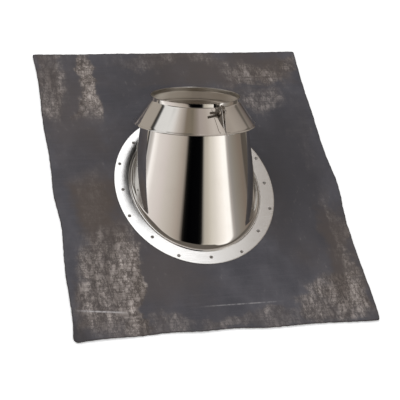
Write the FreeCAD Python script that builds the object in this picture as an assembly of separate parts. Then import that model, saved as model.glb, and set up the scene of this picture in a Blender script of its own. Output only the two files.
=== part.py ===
import FreeCAD, Part
import math
import os

# Roof flashing for a round flue: a lead apron with a riveted oval ring, a slanted
# metal cone that the flue rises through, and a split storm collar clamped over it.
# Millimetres. The apron lies on Z = 0, +Y runs up the roof, +Z leaves the roof.
# The origin is the middle of the oval opening, on the underside of the apron.

Vector = FreeCAD.Vector

# Flue and roof
flue_radius = 100.0            # the flue that the storm collar grips
roof_pitch = 38.0              # angle between the flue and the roof's normal, degrees
flue_shift = 19.5              # where the flue's axis meets the roof, up from the origin

# Lead apron
apron_sheet = 1.5
apron_left = 328.0             # distances from the origin to the four straight edges
apron_right = 344.0
apron_up = 415.0
apron_down = 380.0
corner_cut = 6.0               # the snipped lower left corner
# How far each edge was cut outside the straight line, at even steps, anticlockwise
lower_wave = [2.0, -2.0, -2.0, -4.5, -1.0, -2.5, 2.0, 2.0, 1.5, 4.0, 6.0]
right_wave = [3.5, 3.0, -0.5, -2.5, 0.0, 6.0, 1.0, -1.5, -1.0, -2.5, -1.5, 0.5]
upper_wave = [1.0, 0.0, 1.5, 1.0, 2.0]
left_wave = [3.0, -1.5, -1.0, 1.0, -1.5, -1.5, 0.0, -6.5, -3.5, -1.0, -2.5, 2.5]

# Oval flange ring
ring_half_width = 186.0
ring_half_length = 212.5
ring_sheet = 1.2
ring_band = 33.0               # flat width that shows between the rim and the cone

# Rivets through the ring and the apron
rivet_count = 16               # an even number: they stand in two staggered rows
rivet_outer_row = 9.0          # from the ring's rim to the outer row
rivet_inner_row = 17.5         # from the ring's rim to the inner row
rivet_shank_radius = 2.0
rivet_head_radius = 4.0
rivet_head_height = 1.3
rivet_clearance = 0.1
rivet_sides = 8                # small and repeated, so eight-sided instead of round

# Cone
cone_sheet = 0.8
cone_top_radius = 117.5
cone_top_height = 165.0        # along the flue's axis, from the roof to the lip
cone_lip = 5.0                 # the lip that the storm collar rests on
flare_width = 8.0              # from the wall's foot to the edge of its hem
flare_rise = 6.0               # height at the sides where the flare runs into the wall
hem_radius = 1.1               # the rolled edge of the flare
flare_steps = 3                # bands that follow the flare's curve
wall_steps = 5                 # bands up the straight wall
hem_steps = 3                  # bands round the rolled edge
ring_lap = 0.5                 # how far the ring runs in past the wall's foot

# Storm collar
collar_sheet = 0.8
collar_half_angle = 35.0
skirt_radius = 139.0
skirt_hem = 4.0                # the skirt's edge, folded back up on its outside
neck_height = 9.2
neck_lip = 1.2                 # the rim, flared outward at 45 degrees
collar_clearance = 0.2         # between the collar and the cone's lip

# Slit and its two folded ears
slit_azimuth = -75.0           # around the flue, from +X towards up the roof
slit_top_width = 8.0
slit_bottom_width = 2.4
ear_sheet = 1.0
ear_clearance = 0.15           # between the ears and the collar they are spot-welded to
leaf_width = 14.0              # the half of the ear that lies on the collar
leaf_corner_radius = 6.0
leaf_top_gap = 3.0             # below the foot of the neck
leaf_bottom_gap = 5.0          # above the skirt's edge
fin_foot_gap = 14.0            # above the skirt's edge
fin_foot_height = 2.5
fin_top_drop = 3.0             # below the collar's rim
fin_top_reach = 21.0           # out from the flue
fin_neck_gap = 3.5
fin_corner_radius = 7.0

# Clamp screw and nut
screw_radius = 3.0
screw_length = 35.0
screw_reach = 17.0             # out from the flue
screw_drop = 16.5              # below the collar's rim
screw_hole_clearance = 0.3
thread_clearance = 0.05
hex_across_flats = 10.0
head_height = 4.0
nut_height = 5.0
nut_clearance = 0.05           # beside the slightly leaning fins

# Values worked out from those above
ring_top = apron_sheet + ring_sheet
hem_half_width = ring_half_width - ring_band
hem_half_length = ring_half_length - ring_band
foot_half_width = hem_half_width - flare_width
foot_half_length = hem_half_length - flare_width
half_angle = math.radians(collar_half_angle)
across = collar_sheet / math.cos(half_angle)
lip_gap = collar_clearance / math.cos(half_angle)
collar_at_lip = cone_top_radius + lip_gap + across
neck_radius = flue_radius + collar_sheet
skirt_foot = cone_top_height - (skirt_radius - collar_at_lip) / math.tan(half_angle)
neck_foot = cone_top_height + (collar_at_lip - neck_radius) / math.tan(half_angle)
collar_top = neck_foot + neck_height
slit_lean = (slit_top_width - slit_bottom_width) / 2 / (collar_top - skirt_foot)
hex_corner_radius = hex_across_flats / 2 / math.cos(math.radians(30))
nut_gap = nut_clearance + hex_corner_radius * slit_lean


def on_flue(shape):
    """Turn a shape modelled along Z so that it stands on the flue's slanted axis."""
    turn = FreeCAD.Rotation(Vector(1, 0, 0), -roof_pitch)
    shape.Placement = FreeCAD.Placement(Vector(0, flue_shift, 0), turn)
    return shape


def profile_point(radius, height):
    return Vector(radius, 0, height)


def line_chain(points):
    """Edges that join the points in order."""
    return [Part.makeLine(a, b) for a, b in zip(points, points[1:])]


def face_of(edges):
    return Part.Face(Part.Wire(edges))


def turned(face, angle=360.0):
    return face.revolve(Vector(0, 0, 0), Vector(0, 0, 1), angle)


def bend(start, corner, end, radius):
    """Straight, arc and straight edges from start to end, rounded at the corner."""
    first = (start - corner).normalize()
    last = (end - corner).normalize()
    half_turn = first.getAngle(last) / 2
    reach = radius / math.tan(half_turn)
    centre = corner + (first + last).normalize() * (radius / math.sin(half_turn))
    middle = centre + (corner - centre).normalize() * radius
    near = corner + first * reach
    far = corner + last * reach
    arc = Part.Arc(near, middle, far).toShape()
    return [Part.makeLine(start, near), arc, Part.makeLine(far, end)]


# ---------------------------------------------------------------- ovals

def oval(centre, across_vector, along_vector):
    """A closed curve: centre + cos(a) * across_vector + sin(a) * along_vector."""
    curve = Part.Circle(Vector(0, 0, 0), Vector(0, 0, 1), 1.0).toBSpline()
    for index, pole in enumerate(curve.getPoles(), 1):
        curve.setPole(index, centre + across_vector * pole.x + along_vector * pole.y)
    return Part.Wire([curve.toShape()])


def flat_oval(half_width, half_length, height):
    return oval(Vector(0, 0, height), Vector(half_width, 0, 0), Vector(0, half_length, 0))


def oval_prism(half_width, half_length, low, high):
    rims = [flat_oval(half_width, half_length, height) for height in (low, high)]
    return Part.makeLoft(rims, True, True)


# ---------------------------------------------------------------- lead apron

def waved_edge(start, end, wave):
    """A hand-cut edge: a smooth curve from start to end, pushed outward by the wave."""
    step = (end - start) * (1.0 / (len(wave) - 1))
    outward = Vector(step.y, -step.x, 0).normalize()
    points = [start + step * i + outward * push for i, push in enumerate(wave)]
    curve = Part.BSplineCurve()
    curve.interpolate(points)
    return curve.toShape()


def ends(edge):
    return edge.valueAt(edge.FirstParameter), edge.valueAt(edge.LastParameter)


def apron_outline():
    left_down = Vector(-apron_left, corner_cut - apron_down, 0)
    down_left = Vector(corner_cut - apron_left, -apron_down, 0)
    down_right = Vector(apron_right, -apron_down, 0)
    up_right = Vector(apron_right, apron_up, 0)
    up_left = Vector(-apron_left, apron_up, 0)
    sides = [
        waved_edge(down_left, down_right, lower_wave),
        waved_edge(down_right, up_right, right_wave),
        waved_edge(up_right, up_left, upper_wave),
        waved_edge(up_left, left_down, left_wave),
    ]
    edges = []
    for side, following in zip(sides, sides[1:] + sides[:1]):
        edges.append(side)
        edges.append(Part.makeLine(ends(side)[1], ends(following)[0]))
    return Part.Wire(edges)


def rivet_places():
    """Evenly spaced along the oval, in turn on the inner and the outer row."""
    middle_row = (rivet_outer_row + rivet_inner_row) / 2
    a = ring_half_width - middle_row
    b = ring_half_length - middle_row
    row_step = (rivet_inner_row - rivet_outer_row) / 2
    curve = flat_oval(a, b, 0).Edges[0]
    places = []
    for index, point in enumerate(curve.discretize(Number=rivet_count + 1)[:-1]):
        outward = Vector(point.x / a ** 2, point.y / b ** 2, 0).normalize()
        places.append(point + outward * (row_step if index % 2 else -row_step))
    return places


def many_sided(place, radius, height, sides):
    """A closed regular outline round a place, at a height."""
    corners = []
    for index in range(sides + 1):
        turn = math.radians(360 * index / sides)
        corners.append(place + Vector(radius * math.cos(turn), radius * math.sin(turn), height))
    return Part.Wire(line_chain(corners))


def rivet_hole(place):
    outline = many_sided(place, rivet_shank_radius + rivet_clearance, 0, rivet_sides)
    return Part.Face(outline).extrude(Vector(0, 0, ring_top))


def lead_apron():
    sheet = Part.Face(apron_outline()).extrude(Vector(0, 0, apron_sheet))
    opening = oval_prism(foot_half_width, foot_half_length, 0, apron_sheet)
    return sheet.cut([opening] + [rivet_hole(place) for place in rivet_places()])


# ---------------------------------------------------------------- ring and rivets

def flange_ring():
    ring = oval_prism(ring_half_width, ring_half_length, apron_sheet, ring_top)
    opening = oval_prism(
        foot_half_width - ring_lap, foot_half_length - ring_lap, apron_sheet, ring_top)
    return ring.cut([opening] + [rivet_hole(place) for place in rivet_places()])


def rivet(place):
    """A low domed head on a shank that ends flush with the underside of the apron."""
    shank = Part.Face(many_sided(place, rivet_shank_radius, 0, rivet_sides))
    shank = shank.extrude(Vector(0, 0, ring_top))
    rim = many_sided(place, rivet_head_radius, ring_top, rivet_sides)
    crown = many_sided(place, rivet_head_radius / 2, ring_top + rivet_head_height, rivet_sides)
    return shank.fuse(Part.makeLoft([rim, crown], True, True))


def rivets():
    return Part.makeCompound([rivet(place) for place in rivet_places()])


# ---------------------------------------------------------------- cone

def foot_point_oval(inset_front, inset_back, inset_side, grow, height):
    """An oval around the wall's foot, inset for the sheet and grown outward for the flare."""
    front = -(foot_half_length - inset_front + grow)
    back = foot_half_length - inset_back + grow
    side = foot_half_width - inset_side + grow
    return Vector(0, (front + back) / 2, height), side, Vector(0, (back - front) / 2, 0)


def top_oval(radius, height):
    """The cone's round top, square to the flue's slanted axis."""
    pitch = math.radians(roof_pitch)
    axis = Vector(0, math.sin(pitch), math.cos(pitch))
    centre = Vector(0, flue_shift, 0) + axis * height
    return centre, radius, Vector(0, math.cos(pitch), -math.sin(pitch)) * radius


def mixed(weights, ovals):
    """A weighted sum of ovals. Each oval is its centre, half width and half length."""
    centre = Vector(0, 0, 0)
    side = 0.0
    along = Vector(0, 0, 0)
    for weight, (c, s, a) in zip(weights, ovals):
        centre = centre + c * weight
        side = side + s * weight
        along = along + a * weight
    return centre, side, along


def wall_slopes():
    """Sine of the wall's angle to the roof, at the front, the back and the sides."""
    centre, side, along = top_oval(cone_top_radius, cone_top_height)
    front_run = centre.y - along.y + foot_half_length
    front_rise = centre.z - along.z - ring_top
    back_run = foot_half_length - centre.y - along.y
    back_rise = centre.z + along.z - ring_top
    side_run = foot_half_width - side
    side_rise = centre.z - ring_top
    pairs = [(front_run, front_rise), (back_run, back_rise), (side_run, side_rise)]
    return [rise / math.hypot(run, rise) for run, rise in pairs]


def skin(inset, base, top_radius, flare_start):
    """Ovals up one face of the cone: the flare's curve, then the straight wall.

    The flare is a parabola at each point of the foot, level where it starts and in
    line with the wall where it ends."""
    front, back, side = [inset / slope for slope in wall_slopes()]
    start = foot_point_oval(front, back, side, flare_start, base)
    corner = foot_point_oval(front, back, side, 0, base)
    top = top_oval(top_radius, cone_top_height)
    share = flare_rise / top[0].z
    joined = mixed([1 - share, share], [corner, top])
    ovals = []
    for step in range(flare_steps):
        u = step / flare_steps
        ovals.append(mixed([(1 - u) ** 2, 2 * u * (1 - u), u * u], [start, corner, joined]))
    for step in range(wall_steps + 1):
        u = step / wall_steps
        ovals.append(mixed([1 - u, u], [joined, top]))
    return ovals


def hem():
    """Ovals round the rolled edge of the flare, from its underside to its upper side."""
    ovals = []
    for step in range(hem_steps + 1):
        turn = math.radians(-90 + 180 * step / hem_steps)
        grow = flare_width - hem_radius + hem_radius * math.cos(turn)
        height = ring_top + hem_radius + hem_radius * math.sin(turn)
        ovals.append(foot_point_oval(0, 0, 0, grow, height))
    return ovals


def lofted(ovals):
    wires = [oval(c, Vector(s, 0, 0), a) for c, s, a in ovals]
    return Part.makeLoft(wires, True, True)


def lip_oval(inset):
    """The end of the top lip, which bends in along the underside of the storm collar."""
    radius = cone_top_radius - cone_lip * math.sin(half_angle) - inset / math.cos(half_angle)
    return top_oval(radius, cone_top_height + cone_lip * math.cos(half_angle))


def cone():
    flare_start = flare_width - 2 * hem_radius
    outer = hem() + skin(0, ring_top + cone_sheet, cone_top_radius, flare_start)
    inner = skin(cone_sheet, ring_top, cone_top_radius - cone_sheet, flare_start)
    return lofted(outer + [lip_oval(0)]).cut(lofted(inner + [lip_oval(cone_sheet)]))


# ---------------------------------------------------------------- storm collar

def collar_radius(height):
    """The outer radius of the collar's slope at a height along the flue."""
    return skirt_radius - (height - skirt_foot) * math.tan(half_angle)


def flared_rim(radius):
    """The top of the neck at a radius, from below its flared rim to the edge."""
    return [
        profile_point(radius, collar_top - neck_lip),
        profile_point(radius + neck_lip, collar_top),
    ]


def collar_profile():
    """The section of the sheet, anticlockwise from the inner edge of the skirt."""
    down = Vector(math.sin(half_angle), 0, -math.cos(half_angle))
    out = Vector(math.cos(half_angle), 0, math.sin(half_angle)) * collar_sheet
    edge = profile_point(skirt_radius, skirt_foot)
    inner_edge = edge - out
    rise = (inner_edge.x - flue_radius) / math.tan(half_angle)
    hem_line = [edge + out, edge + out - down * skirt_hem, edge - down * skirt_hem]
    outside = [profile_point(neck_radius, neck_foot)] + flared_rim(neck_radius)
    inside = [profile_point(flue_radius, inner_edge.z + rise)] + flared_rim(flue_radius)
    points = [inner_edge] + hem_line + outside + inside[::-1]
    return face_of(line_chain(points + points[:1]))


def slit_half_width(height):
    return slit_bottom_width / 2 + slit_lean * (height - skirt_foot)


def slit():
    """A tapered gap that runs the whole height of the collar."""
    low = skirt_foot - skirt_hem
    high = collar_top + skirt_hem
    corners = []
    for side, height in ((-1, low), (1, low), (1, high), (-1, high), (-1, low)):
        corners.append(Vector(flue_radius / 2, side * slit_half_width(height), height))
    return face_of(line_chain(corners)).extrude(Vector(flue_radius, 0, 0))


def at_slit(shape):
    """Turn a shape modelled at +X round to the slit, then onto the flue's axis."""
    turn = FreeCAD.Rotation(Vector(0, 0, 1), slit_azimuth)
    tilt = FreeCAD.Rotation(Vector(1, 0, 0), -roof_pitch)
    shape.Placement = FreeCAD.Placement(Vector(0, flue_shift, 0), tilt.multiply(turn))
    return shape


def storm_collar():
    return at_slit(turned(collar_profile()).cut(slit()))


# ---------------------------------------------------------------- ears of the clamp

def collar_core():
    """Everything inside the ears' seat on the collar, to trim them against it."""
    line = [
        profile_point(skirt_radius + ear_clearance, skirt_foot),
        profile_point(neck_radius + ear_clearance, neck_foot),
        profile_point(neck_radius + ear_clearance, collar_top),
        profile_point(0, collar_top),
        profile_point(0, skirt_foot),
    ]
    return turned(face_of(line_chain(line + line[:1])))


def ear_leaf(side):
    """The half that is spot-welded flat on the collar, with rounded lower corners."""
    low = skirt_foot + leaf_bottom_gap
    high = neck_foot - leaf_top_gap
    lean = Vector(ear_sheet * math.cos(half_angle), 0, ear_sheet * math.sin(half_angle))
    bottom = profile_point(collar_radius(low) + ear_clearance, low)
    top = profile_point(collar_radius(high) + ear_clearance, high)
    layer = turned(face_of(line_chain([bottom, top, top + lean, bottom + lean, bottom])))
    corners = []
    top_edge = high + ear_sheet
    for height, reach in ((low, 0), (low, leaf_width), (top_edge, leaf_width), (top_edge, 0)):
        corners.append(Vector(flue_radius, side * (slit_half_width(height) + reach), height))
    strip = face_of(line_chain(corners + corners[:1])).extrude(Vector(flue_radius / 2, 0, 0))
    outer_foot = [e for e in strip.Edges if same_line(e, corners[1])]
    strip = strip.makeFillet(leaf_corner_radius, outer_foot)
    return layer.common(strip)


def same_line(edge, corner):
    """Does the edge run outward from the corner, parallel to X?"""
    points = [v.Point for v in edge.Vertexes]
    return all(math.hypot(p.y - corner.y, p.z - corner.z) < 0.01 for p in points)


def ear_fin(side, core):
    """The half that stands up from the slit's edge: tall at the top, tapering away."""
    low = skirt_foot + fin_foot_gap
    high = collar_top - fin_top_drop
    inner_foot = neck_foot - leaf_top_gap
    line = [
        (flue_radius + fin_neck_gap, high),
        (flue_radius + fin_top_reach, high),
        (collar_radius(low) + fin_foot_height, low),
        (flue_radius, low),
        (flue_radius, inner_foot),
        (flue_radius + fin_neck_gap, inner_foot),
    ]
    points = [Vector(r, side * slit_half_width(t), t) for r, t in line]
    edges = bend(points[0], points[1], points[2], fin_corner_radius)
    edges = edges + line_chain(points[2:] + points[:1])
    outward = Vector(0, side, -slit_lean).normalize()
    return face_of(edges).extrude(outward * ear_sheet).cut(core)


def clamp_ear(side):
    core = collar_core()
    ear = ear_leaf(side).fuse(ear_fin(side, core)).removeSplitter()
    reach = 2 * screw_length
    hole = Part.makeCylinder(
        screw_radius + screw_hole_clearance, 2 * reach,
        screw_point(-reach), Vector(0, 1, 0))
    return at_slit(ear.cut(hole))


# ---------------------------------------------------------------- clamp screw

def screw_point(along):
    return Vector(flue_radius + screw_reach, along, collar_top - screw_drop)


def fin_face():
    """How far from the slit's middle the outer face of each fin is, at the screw."""
    return slit_half_width(collar_top - screw_drop) + ear_sheet


def hexagon(height, start):
    corners = []
    for index in range(7):
        turn = math.radians(60 * index)
        offset = Vector(math.cos(turn), 0, math.sin(turn)) * hex_corner_radius
        corners.append(screw_point(start) + offset)
    return face_of(line_chain(corners)).extrude(Vector(0, height, 0))


def clamp_screw():
    seat = fin_face() + nut_gap
    start = seat - screw_length
    shank = Part.makeCylinder(screw_radius, screw_length, screw_point(start), Vector(0, 1, 0))
    tip = [e for e in shank.Edges if e.Closed and abs(e.CenterOfMass.y - start) < 0.01]
    shank = shank.makeChamfer(screw_radius / 5, tip)
    return at_slit(shank.fuse(hexagon(head_height, seat)).removeSplitter())


def clamp_nut():
    start = -fin_face() - nut_gap - nut_height
    bore = Part.makeCylinder(
        screw_radius + thread_clearance, nut_height, screw_point(start), Vector(0, 1, 0))
    return at_slit(hexagon(nut_height, start).cut(bore))


# ---------------------------------------------------------------- output

pieces = {
    "lead_apron": lead_apron(),
    "flange_ring": flange_ring(),
    "ring_rivets": rivets(),
    "flashing_cone": cone(),
    "storm_collar": storm_collar(),
    "clamp_ear_left": clamp_ear(-1),
    "clamp_ear_right": clamp_ear(1),
    "clamp_screw": clamp_screw(),
    "clamp_nut": clamp_nut(),
}

os.makedirs("parts", exist_ok=True)
for name, shape in pieces.items():
    shape.exportStep("parts/" + name + ".step")
    print(name, "solids", len(shape.Solids), "valid", shape.isValid(), "volume", round(shape.Volume, 1))
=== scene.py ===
import math
import bmesh
import bpy
import numpy as np
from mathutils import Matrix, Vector


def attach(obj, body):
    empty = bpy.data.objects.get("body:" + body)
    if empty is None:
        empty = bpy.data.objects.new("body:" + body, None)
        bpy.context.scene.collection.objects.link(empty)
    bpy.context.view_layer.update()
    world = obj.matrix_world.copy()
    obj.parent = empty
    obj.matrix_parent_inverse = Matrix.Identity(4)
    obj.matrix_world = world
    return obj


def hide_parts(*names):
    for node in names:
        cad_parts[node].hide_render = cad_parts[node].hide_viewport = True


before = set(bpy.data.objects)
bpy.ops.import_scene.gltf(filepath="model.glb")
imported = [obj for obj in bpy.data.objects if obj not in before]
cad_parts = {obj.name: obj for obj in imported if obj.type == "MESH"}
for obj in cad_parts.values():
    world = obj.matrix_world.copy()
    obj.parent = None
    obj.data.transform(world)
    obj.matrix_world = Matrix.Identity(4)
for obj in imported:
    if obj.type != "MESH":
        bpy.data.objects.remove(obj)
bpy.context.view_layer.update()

# Roof flashing for a round flue, in metres. X across the roof, Y up the slope, Z off the roof.
# The flue's axis leaves the roof at y = shift and leans towards +Y by the pitch.
flue = {"radius": 0.100, "pitch": math.radians(38.0), "shift": 0.0195}
flueSide = np.array([1.0, 0.0, 0.0])
flueDown = np.array([0.0, math.cos(flue["pitch"]), -math.sin(flue["pitch"])])
flueAxis = np.array([0.0, math.sin(flue["pitch"]), math.cos(flue["pitch"])])
flueFoot = np.array([0.0, flue["shift"], 0.0])


# A point has the index row * columns + column; a quad joins it to the next row, the next row
# and column, and the next column, modulo the count where it wraps.
def gridFaces(rows, columns, wrapRows, wrapColumns):
    r = np.arange(rows if wrapRows else rows - 1)
    c = np.arange(columns if wrapColumns else columns - 1)
    r, c = np.meshgrid(r, c, indexing="ij")
    r2, c2 = (r + 1) % rows, (c + 1) % columns
    quads = np.stack([r * columns + c, r2 * columns + c, r2 * columns + c2, r * columns + c2], -1)
    return quads.reshape(-1, 4)


# An object made and put into the scene.
def newObject(name, data):
    made = bpy.data.objects.new(name, data)
    bpy.context.scene.collection.objects.link(made)
    return made


# Even steps round a full turn: full turn * index / count.
def fullTurn(count):
    return np.linspace(0, 2 * math.pi, count, endpoint=False)


# Vertices, quads and extra faces (end caps, lists of indices) go in as whole arrays; a face
# starts where the sizes of those before it add up to.
def meshFrom(name, points, quads, caps=()):
    mesh = bpy.data.meshes.new(name)
    sizes = np.array([4] * len(quads) + [len(cap) for cap in caps])
    corners = np.concatenate([quads.ravel(), *caps])
    mesh.vertices.add(len(points))
    mesh.vertices.foreach_set("co", points.astype(np.float32).ravel())
    mesh.loops.add(len(corners))
    mesh.loops.foreach_set("vertex_index", corners.astype(np.int32))
    mesh.polygons.add(len(sizes))
    mesh.polygons.foreach_set("loop_start", (np.cumsum(sizes) - sizes).astype(np.int32))
    mesh.update(calc_edges=True)
    mesh.validate()
    mesh.update()
    return newObject(name, mesh)


# Welds poles and seams, turns faces outward, smooths edges under the angle in degrees.
def tidyMesh(piece, smoothAngle, weld=1e-7):
    work = bmesh.new()
    work.from_mesh(piece.data)
    bmesh.ops.remove_doubles(work, verts=work.verts, dist=weld)
    bmesh.ops.recalc_face_normals(work, faces=work.faces)
    for face in work.faces:
        face.smooth = True
    limit = math.radians(smoothAngle)
    for edge in work.edges:
        edge.smooth = len(edge.link_faces) == 2 and edge.calc_face_angle(0.0) < limit
    work.to_mesh(piece.data)
    work.free()
    piece.data.update()


# Tidies a piece, gives it its material in one slot and its body, and hides the CAD nodes it
# replaces.
def finishPiece(piece, nodes, material, smoothAngle=40.0):
    tidyMesh(piece, smoothAngle)
    piece.data.materials.clear()
    piece.data.materials.append(material)
    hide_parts(*nodes)
    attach(piece, "root")
    print("piece", piece.name, len(piece.data.polygons), "faces")
    return piece


# Rounds the corners of a closed polyline: a * (1-t)^2 + corner * 2t(1-t) + b * t^2, with a and
# b set back from the corner along its two edges.
def roundedLoop(points, setBack, steps):
    points = np.asarray(points, float)
    t = np.linspace(0, 1, steps + 1)[:, None]
    rounded = []
    for i, (corner, reach) in enumerate(zip(points, np.broadcast_to(setBack, len(points)))):
        ends = []
        for way in (points[i - 1] - corner, points[(i + 1) % len(points)] - corner):
            length = np.linalg.norm(way)
            ends.append(corner + way / length * min(reach, length * 0.49))  # under half an edge
        a, b = ends
        rounded.append(a * (1 - t) ** 2 + corner * 2 * t * (1 - t) + b * t ** 2)
    return np.concatenate(rounded)


# Splits the edges of a closed polyline evenly so that no step is over the limit.
def denser(loop, limit):
    filled = []
    for a, b in zip(loop, np.roll(loop, -1, axis=0)):
        count = max(1, int(math.ceil(np.linalg.norm(b - a) / limit)))
        filled.extend(a + (b - a) * k / count for k in range(count))
    return np.array(filled)


# A new material, its tree and its Principled shader.
def newMaterial(name):
    material = bpy.data.materials.new(name)
    material.use_nodes = True
    return material, material.node_tree, material.node_tree.nodes["Principled BSDF"]


# Values on sockets by name or index: a constant is set, a socket is linked, None is left.
def fill(tree, sockets, values):
    for key, value in values.items():
        if isinstance(value, (int, float, tuple)):
            sockets[key].default_value = value
        elif value is not None:
            tree.links.new(value, sockets[key])


# A node of a kind with values on its inputs.
def addNode(tree, kind, values=None):
    node = tree.nodes.new(kind)
    fill(tree, node.inputs, values or {})
    return node


# A node group with named sockets; returns its tree, what it is given and what it puts out.
def newGroup(name, inputs, outputs):
    tree = bpy.data.node_groups.new(name, "ShaderNodeTree")
    for way, sockets in (("INPUT", inputs), ("OUTPUT", outputs)):
        for label, kind in sockets.items():
            tree.interface.new_socket(name=label, in_out=way, socket_type="NodeSocket" + kind)
    given = tree.nodes.new("NodeGroupInput").outputs
    return tree, given, tree.nodes.new("NodeGroupOutput").inputs


# A group placed in a material or in another group with its own values.
def placeGroup(tree, group, values):
    node = tree.nodes.new("ShaderNodeGroup")
    node.node_tree = group
    fill(tree, node.inputs, values)
    return node.outputs


# Noise stretched along the axes: fractal noise at object coordinates * scale + offset.
def buildNoiseGroup():
    tree, given, result = newGroup("stretched noise", {
        "Scale": "Vector", "Offset": "Vector", "Detail": "Float", "Roughness": "Float"},
        {"Value": "Float"})
    place = addNode(tree, "ShaderNodeTexCoord").outputs["Object"]
    mapped = addNode(tree, "ShaderNodeMapping", {
        "Vector": place, "Scale": given["Scale"], "Location": given["Offset"]})
    noise = addNode(tree, "ShaderNodeTexNoise", {
        "Vector": mapped.outputs["Vector"], "Scale": 1.0,
        "Detail": given["Detail"], "Roughness": given["Roughness"]})
    fill(tree, result, {"Value": noise.outputs["Fac"]})
    return tree


noiseGroup = buildNoiseGroup()


# The noise group's value with the given scales, detail, roughness and offset.
def stretchedNoise(tree, scales, detail, roughness, offset=(0.0, 0.0, 0.0)):
    values = {"Scale": scales, "Offset": offset, "Detail": detail, "Roughness": roughness}
    return placeGroup(tree, noiseGroup, values)["Value"]


# A value between two limits is spread smoothly over 0 to 1, or over the given range:
# t * t * (3 - 2t) of t = (value - low) / (high - low).
def spread(tree, value, low, high, toLow=0.0, toHigh=1.0):
    node = addNode(tree, "ShaderNodeMapRange", {
        "Value": value, "From Min": low, "From Max": high, "To Min": toLow, "To Max": toHigh})
    node.interpolation_type = "SMOOTHSTEP"
    return node.outputs["Result"]


# One operation on one or two numbers: operation(a, b).
def calculate(tree, operation, a, b=None):
    node = addNode(tree, "ShaderNodeMath", {0: a, 1: b})
    node.operation = operation
    return node.outputs[0]


# a * (1 - factor) + b * factor; the node's colour sockets are its inputs 6 and 7.
def mixColours(tree, factor, a, b):
    node = addNode(tree, "ShaderNodeMix")
    node.data_type = "RGBA"
    fill(tree, node.inputs, {0: factor, 6: a, 7: b})
    return node.outputs[2]


# The normal of a height: strength * distance * slope of the height.
def raised(tree, height, strength, distance):
    values = {"Height": height, "Strength": strength, "Distance": distance}
    return addNode(tree, "ShaderNodeBump", values).outputs["Normal"]


# One at a place, fading to nothing at the half sizes: the greater of the distances along the
# two turned axes, each divided by its half size, spread from 1 to 0.
def patchMask(tree, position, x, y, halfWidth, halfLength, turn):
    moved = addNode(tree, "ShaderNodeMapping", {
        "Vector": position, "Location": (x, y, 0.0), "Scale": (halfWidth, halfLength, 1.0),
        "Rotation": (0.0, 0.0, math.radians(turn))})
    moved.vector_type = "TEXTURE"
    parts = addNode(tree, "ShaderNodeSeparateXYZ", {0: moved.outputs["Vector"]})
    across = calculate(tree, "ABSOLUTE", parts.outputs["X"])
    along = calculate(tree, "ABSOLUTE", parts.outputs["Y"])
    far = calculate(tree, "MAXIMUM", across, along)
    return spread(tree, far, *leadSheet["patchFade"], 1.0, 0.0)


# Display value 0 to 255 to linear light: v / 12.92 in the dark, else a power of 2.4.
def lightOf(values):
    v = np.asarray(values, float) / 255.0
    return np.where(v <= 0.04045, v / 12.92, ((v + 0.055) / 1.055) ** 2.4)


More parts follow.
